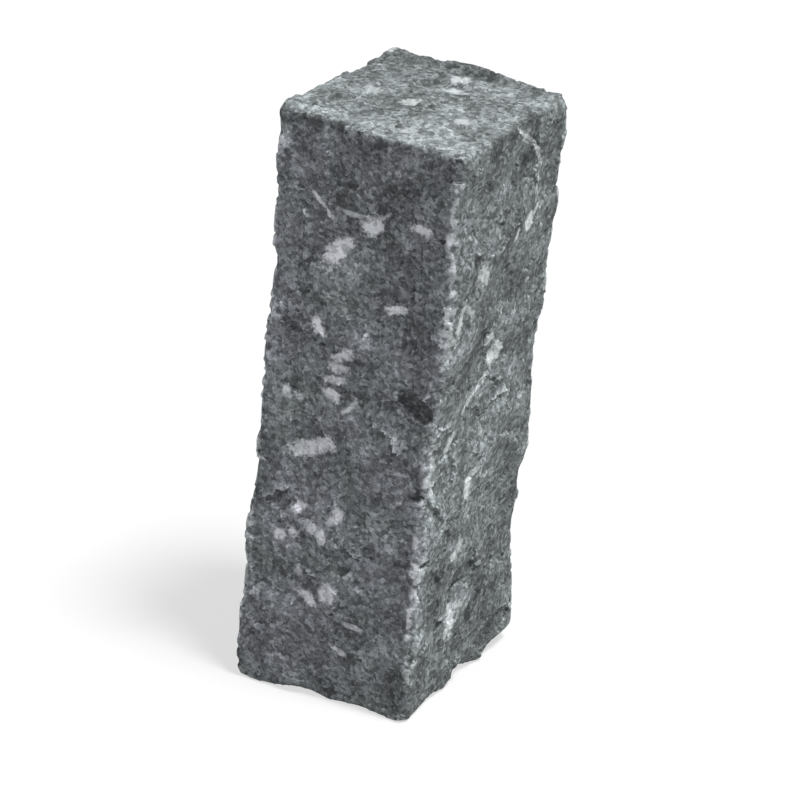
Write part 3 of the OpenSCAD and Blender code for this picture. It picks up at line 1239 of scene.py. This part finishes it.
@dataclass(frozen=True)
class Studio:
    """A plain pale floor and soft light from above and from the right.

    Attributes:
        floor_size: Width of the floor in metres.
        floor_colour: Colour of the floor.
        floor_glow: Share of the floor's seen colour that is plain white.
        glow_strength: Strength of that white, which makes the lit floor just white.
        sky: Strength of the even light from all round.
        sun: Strength of the main light.
        sun_from: The way to the main light.
        sun_spread: How wide the main light is, in degrees.
    """

    floor_size: float = 24.0
    floor_colour: Colour = grey(0.50)
    floor_glow: float = 0.5
    glow_strength: float = 1.28
    sky: float = 0.35
    sun: float = 4.0
    sun_from: tuple[float, float, float] = (0.36, -0.02, 0.93)
    sun_spread: float = 14.0

    def build(self) -> None:
        """Makes the floor, the sky and the main light."""
        self._floor()
        world = bpy.data.worlds.new("even_sky")
        world.use_nodes = True
        world.node_tree.nodes["Background"].inputs["Color"].default_value = grey(1.0)
        world.node_tree.nodes["Background"].inputs["Strength"].default_value = self.sky
        bpy.context.scene.world = world
        sun = bpy.data.lights.new("main_light", "SUN")
        sun.energy = self.sun
        sun.angle = math.radians(self.sun_spread)
        lamp = bpy.data.objects.new("main_light", sun)
        lamp.rotation_euler = Vector(self.sun_from).to_track_quat("Z", "Y").to_euler()
        bpy.context.scene.collection.objects.link(lamp)

    def _floor(self) -> None:
        """Makes the floor."""
        half = self.floor_size / 2
        corners = [(-half, -half, 0), (half, -half, 0), (half, half, 0), (-half, half, 0)]
        mesh = bpy.data.meshes.new("floor")
        mesh.from_pydata(corners, [], [(0, 1, 2, 3)])
        mesh.materials.append(self._floor_material())
        floor = bpy.data.objects.new("floor", mesh)
        bpy.context.scene.collection.objects.link(floor)

    def _floor_material(self) -> bpy.types.Material:
        """Builds the floor's material.

        Returns:
            A material that is white to the camera but for the post's shadow.
        """
        material = bpy.data.materials.new("pale_floor")
        material.use_nodes = True
        material.node_tree.nodes.clear()
        graph = Graph(material.node_tree)
        path = graph.node("ShaderNodeLightPath").outputs
        seen = graph.math("MAXIMUM", path["Is Camera Ray"], path["Is Glossy Ray"])
        seen = graph.math("MAXIMUM", seen, path["Is Transmission Ray"])
        glow = {"Color": grey(1.0), "Strength": self.glow_strength}
        shades = {
            "Fac": graph.math("MULTIPLY", seen, self.floor_glow),
            1: graph.result("ShaderNodeBsdfDiffuse", {"Color": self.floor_colour}),
            2: graph.result("ShaderNodeEmission", glow),
        }
        graph.node("ShaderNodeOutputMaterial", {"Surface": graph.result("ShaderNodeMixShader", shades)})
        return material


@dataclass(frozen=True)
class ViewPoint:
    """The camera, at the photo's own distance and height, turned to the post's middle.

    Attributes:
        eye: Place of the camera in the part's frame, in metres.
        aim: Point that is in the middle of the picture.
        lens: Focal length in millimetres.
        sensor: Width of the sensor in millimetres.
        roll: Degrees that the picture is turned.
    """

    eye: tuple[float, float, float] = (1.634, -2.768, 1.874)
    aim: tuple[float, float, float] = (0.016, 0.0, 0.240)
    lens: float = 203.0
    sensor: float = 36.0
    roll: float = 1.36

    def build(self) -> None:
        """Makes the camera and gives it to the scene."""
        data = bpy.data.cameras.new("camera")
        data.sensor_width = self.sensor
        data.lens = self.lens
        camera = bpy.data.objects.new("camera", data)
        look = Vector(self.aim) - Vector(self.eye)
        turned = look.to_track_quat("-Z", "Y").to_matrix().to_4x4()
        turned = turned @ Matrix.Rotation(math.radians(self.roll), 4, "Z")
        camera.matrix_world = Matrix.Translation(self.eye) @ turned
        bpy.context.scene.collection.objects.link(camera)
        bpy.context.scene.camera = camera


FRONT, RIGHT, HEAD = Side.FRONT, Side.RIGHT, Side.HEAD

# Bruises that are seen on the post: face, place along and up, length, width, turn, strength, softness
BRUISES = (
    Mark(FRONT, 30, 424, 18, 16, 30, 0.95),
    Mark(FRONT, 11, 428, 24, 5, -4, 0.6),
    Mark(FRONT, 41, 434, 16, 4, 40, 0.6),
    Mark(FRONT, -1, 395, 34, 14, 50, 1.0),
    Mark(FRONT, 74, 432, 20, 8, -6, 0.9),
    Mark(FRONT, 53, 358, 20, 8, 16, 1.0),
    Mark(FRONT, -15, 329, 17, 9, -48, 1.0),
    Mark(FRONT, 9, 309, 20, 9, 30, 0.85),
    Mark(FRONT, 5, 298, 19, 8, -3, 0.8),
    Mark(FRONT, 1, 286, 19, 8, 6, 0.85),
    Mark(FRONT, -1, 273, 17, 9, -22, 0.9),
    Mark(FRONT, 18, 269, 10, 4, 70, 0.7),
    Mark(FRONT, 14, 263, 13, 4, 42, 0.7),
    Mark(FRONT, -43, 263, 13, 8, -60, 0.9),
    Mark(FRONT, -32, 263, 8, 6, 0, 0.6),
    Mark(FRONT, -20, 221, 42, 12, 25, 0.9),
    Mark(FRONT, -4, 228, 14, 13, 0, 1.0),
    Mark(FRONT, -27, 168, 12, 9, 50, 0.75),
    Mark(FRONT, 8, 169, 15, 12, 46, 0.75),
    Mark(FRONT, -13, 154, 10, 8, 60, 0.8),
    Mark(FRONT, -4, 147, 14, 8, 80, 0.8),
    Mark(FRONT, -42, 141, 10, 9, 10, 0.8),
    Mark(FRONT, -30, 145, 9, 9, 0, 0.7),
    Mark(FRONT, -24, 112, 9, 8, 60, 0.45),
    Mark(FRONT, 3, 99, 18, 15, 80, 0.9),
    Mark(FRONT, -16, 92, 18, 9, -29, 0.9),
    Mark(FRONT, 27, 76, 21, 5, -9, 0.7),
    Mark(FRONT, 15, 51, 18, 5, -26, 0.7),
    Mark(FRONT, -17, 429, 34, 5, -43, 0.8),
    Mark(FRONT, 101, 432, 9, 8, 90, 0.7),
    Mark(FRONT, 80, 166, 12, 5, 90, 0.5),
    Mark(FRONT, 78, 141, 14, 8, 90, 0.7),
    Mark(FRONT, 78, 120, 10, 5, 90, 0.6),
    Mark(FRONT, 77, 95, 24, 5, 90, 0.6),
    Mark(FRONT, 76, 58, 16, 4, 90, 0.3),
    Mark(RIGHT, 32, 409, 15, 13, 60, 0.9),
    Mark(RIGHT, 42, 414, 18, 4, 30, 0.5),
    Mark(RIGHT, 15, 403, 13, 5, 70, 0.7),
    Mark(RIGHT, -30, 385, 20, 16, 80, 0.7, 0.5),
    Mark(RIGHT, -56, 357, 26, 10, 80, 0.8),
    Mark(RIGHT, -47, 361, 18, 7, -43, 0.5),
    Mark(RIGHT, 2, 315, 12, 9, 60, 0.75),
    Mark(RIGHT, 15, 296, 20, 14, 60, 1.0),
    Mark(RIGHT, 12, 325, 28, 4, 70, 0.5),
    Mark(RIGHT, 3, 276, 22, 8, 35, 0.9),
    Mark(RIGHT, -16, 266, 34, 6, 27, 0.8),
    Mark(RIGHT, -48, 244, 20, 9, 70, 0.9),
    Mark(RIGHT, -15, 190, 22, 10, 85, 0.8, 0.5),
    Mark(RIGHT, -9, 200, 16, 7, 10, 0.5),
    Mark(RIGHT, -16, 136, 11, 11, 0, 0.5, 0.5),
    Mark(RIGHT, -26, 130, 9, 9, 0, 0.8),
    Mark(RIGHT, -17, 65, 28, 13, 72, 0.75, 0.5),
    Mark(RIGHT, -4, 73, 20, 5, -10, 0.3),
    Mark(RIGHT, 18, 487, 30, 4.5, -39, 0.8),
    Mark(RIGHT, 38, 466, 30, 4.5, -53, 0.8),
    Mark(RIGHT, 46, 437, 22, 4, -83, 0.6),
    Mark(RIGHT, -74, 404, 26, 6, 90, 0.45),
    Mark(RIGHT, -70, 337, 22, 10, 90, 0.35),
    Mark(RIGHT, -73, 240, 16, 6, 90, 0.5),
    Mark(RIGHT, -71, 213, 14, 8, 90, 0.8),
    Mark(HEAD, 30, 58, 18, 13, 0, 0.55),
    Mark(HEAD, 39, 37, 18, 13, -10, 0.55),
    Mark(HEAD, 20, -4, 17, 11, 10, 0.50),
    Mark(HEAD, -16, 3, 16, 10, 0, 0.35),
    Mark(HEAD, 72, -11, 14, 10, 0, 0.45),
    Mark(HEAD, 46, -46, 15, 10, 10, 0.45),
)

# Lighter and darker places that are seen on the post, some of them painted shade, listed the same way
TONES_AND_SHADE = (
    Mark(FRONT, 62, 400, 150, 70, 90, -0.04, 0.9),
    Mark(FRONT, 52, 230, 60, 36, 0, -0.06, 0.8),
    # Painted shade in the flake scar by the near edge of the front face
    Mark(FRONT, 78, 215, 80, 20, 90, -0.10, 0.8),
    Mark(FRONT, 81, 211, 20, 14, 30, -0.20, 0.6),
    # Painted shade: a dark band under the rim of the head, on the front face
    Mark(FRONT, 24, 494, 170, 9, 0, -0.16, 0.6),
    Mark(FRONT, -16, 495, 90, 8, 0, -0.28, 0.6),
    Mark(FRONT, 66, 497, 90, 8, 0, -0.26, 0.6),
    Mark(FRONT, -28, 493, 14, 8, -20, -0.30, 0.6),
    Mark(FRONT, -8, 493, 14, 7, -30, -0.28, 0.6),
    Mark(FRONT, 25, 488, 12, 10, 40, -0.20, 0.6),
    Mark(FRONT, 36, 494, 10, 7, -30, -0.32, 0.6),
    Mark(FRONT, 78, 488, 12, 8, 0, -0.25, 0.6),
    Mark(FRONT, 90, 484, 36, 24, 0, -0.16, 0.7),
    Mark(RIGHT, -60, 415, 130, 34, 90, 0.06, 0.8),
    Mark(RIGHT, -60, 300, 120, 34, 90, 0.04, 0.8),
    Mark(RIGHT, -66, 225, 90, 24, 90, -0.04, 0.8),
    Mark(RIGHT, 0, 432, 130, 44, 0, -0.08, 0.8),
    Mark(RIGHT, 62, 295, 70, 24, 90, -0.07, 0.8),
    Mark(RIGHT, 10, 180, 120, 70, 70, 0.08, 0.8),
    Mark(RIGHT, -44, 88, 70, 40, 90, -0.06, 0.8),
    Mark(RIGHT, -76, 120, 130, 9, 90, 0.14, 0.7),
    # Painted shade in the recess of the right face, partly the darker clean split
    Mark(RIGHT, -26, 307, 60, 26, 55, -0.15, 0.7),
    Mark(RIGHT, -28, 220, 26, 12, 80, -0.14, 0.7),
    Mark(RIGHT, 24, 198, 28, 18, 60, -0.15, 0.7),
    # Painted shade: a dark band under the rim of the head, on the right face
    Mark(RIGHT, 4, 495, 150, 8, 0, -0.10, 0.6),
    Mark(RIGHT, 0, 496, 140, 7, 0, -0.18, 0.6),
    Mark(RIGHT, -52, 486, 50, 30, 0, -0.10, 0.8),
    Mark(RIGHT, -27, 489, 22, 9, 90, -0.22, 0.6),
    Mark(RIGHT, -2, 489, 20, 9, 70, -0.20, 0.6),
    Mark(RIGHT, 26, 469, 36, 16, 70, -0.20, 0.6),
    Mark(RIGHT, 33, 489, 16, 8, 80, -0.20, 0.6),
    Mark(RIGHT, -30, 121, 14, 9, 80, -0.26, 0.6),
    Mark(RIGHT, -12, 95, 28, 10, 70, -0.26, 0.6),
    Mark(RIGHT, -50, 112, 26, 14, 80, -0.14, 0.7),
    Mark(RIGHT, 14, 106, 12, 9, 60, -0.20, 0.6),
    Mark(RIGHT, 24, 80, 36, 9, 62, -0.22, 0.6),
    Mark(RIGHT, 39, 106, 12, 9, 0, -0.20, 0.6),
    Mark(RIGHT, 7, 60, 11, 11, 0, -0.42, 0.5),
    # Painted shadow of the chip at the foot
    Mark(RIGHT, 47, 27, 34, 20, 30, -0.26, 0.6),
    Mark(RIGHT, 54, 90, 90, 44, 70, -0.10, 0.8),
    Mark(RIGHT, -45, 26, 80, 46, 0, -0.13, 0.8),
    Mark(HEAD, 20, -60, 160, 16, -3, 0.10, 0.7),
    Mark(HEAD, -14, -52, 60, 12, 0, 0.06, 0.7),
    Mark(HEAD, 82, -46, 64, 36, 0, 0.09, 0.7),
    Mark(HEAD, -42, -40, 30, 22, 0, 0.05, 0.8),
    Mark(HEAD, -42, 20, 26, 30, 0, -0.06, 0.8),
    Mark(HEAD, -8, 48, 40, 44, 0, -0.09, 0.8),
    Mark(HEAD, 54, 14, 36, 28, 0, 0.06, 0.8),
    Mark(HEAD, 84, 64, 36, 24, 0, 0.08, 0.8),
    Mark(HEAD, -32, -12, 54, 46, 20, 0.13, 0.8),
    Mark(HEAD, -38, 60, 44, 40, 0, -0.15, 0.8),
    Mark(HEAD, 80, 24, 50, 40, 30, -0.04, 0.8),
    Mark(HEAD, 4, -29, 28, 8, 30, -0.24, 0.6),
    Mark(HEAD, -24, -38, 14, 7, 10, -0.20, 0.6),
    Mark(HEAD, 32, 76, 110, 12, -3, -0.09, 0.8),
    Mark(HEAD, 40, 72, 24, 8, 0, -0.22, 0.6),
)

# Small flakes that are seen on the post: face, place along and up, spread, reach, depth, slopes, and how much
# lighter or darker the scar is, partly painted shade
FLAKES = (
    Flake(FRONT, 62, 266, 20, 10, 0.8, 0.06, 0.09, 0.07),
    # The next two scars are darker, partly the clean split and partly painted shade
    Flake(FRONT, 74, 282, 18, 10, 2.2, -0.18, -0.26, -0.26),
    Flake(FRONT, 79, 209, 9, 8, 0.8, 0.1, -0.35, -0.14),
    Flake(RIGHT, -14, 100, 14, 12, 0.9, 0.05, -0.3),
    Flake(RIGHT, 26, 470, 16, 14, 1.0, -0.2, -0.2),
)


def main() -> None:
    """Builds the camera, the studio and the post."""
    logging.basicConfig(level=logging.INFO, format="%(name)s: %(message)s")
    bpy.context.scene.view_settings.view_transform = "Standard"
    ViewPoint().build()
    Studio().build()
    post = SplitPost(SplitRelief(), FaceMarks(BRUISES, TONES_AND_SHADE, FLAKES), Granite()).build()
    triangles = sum(len(face.vertices) - 2 for face in post.data.polygons)
    LOG.info("%s: %d triangles", post.name, triangles)


if __name__ == "__main__":
    main()
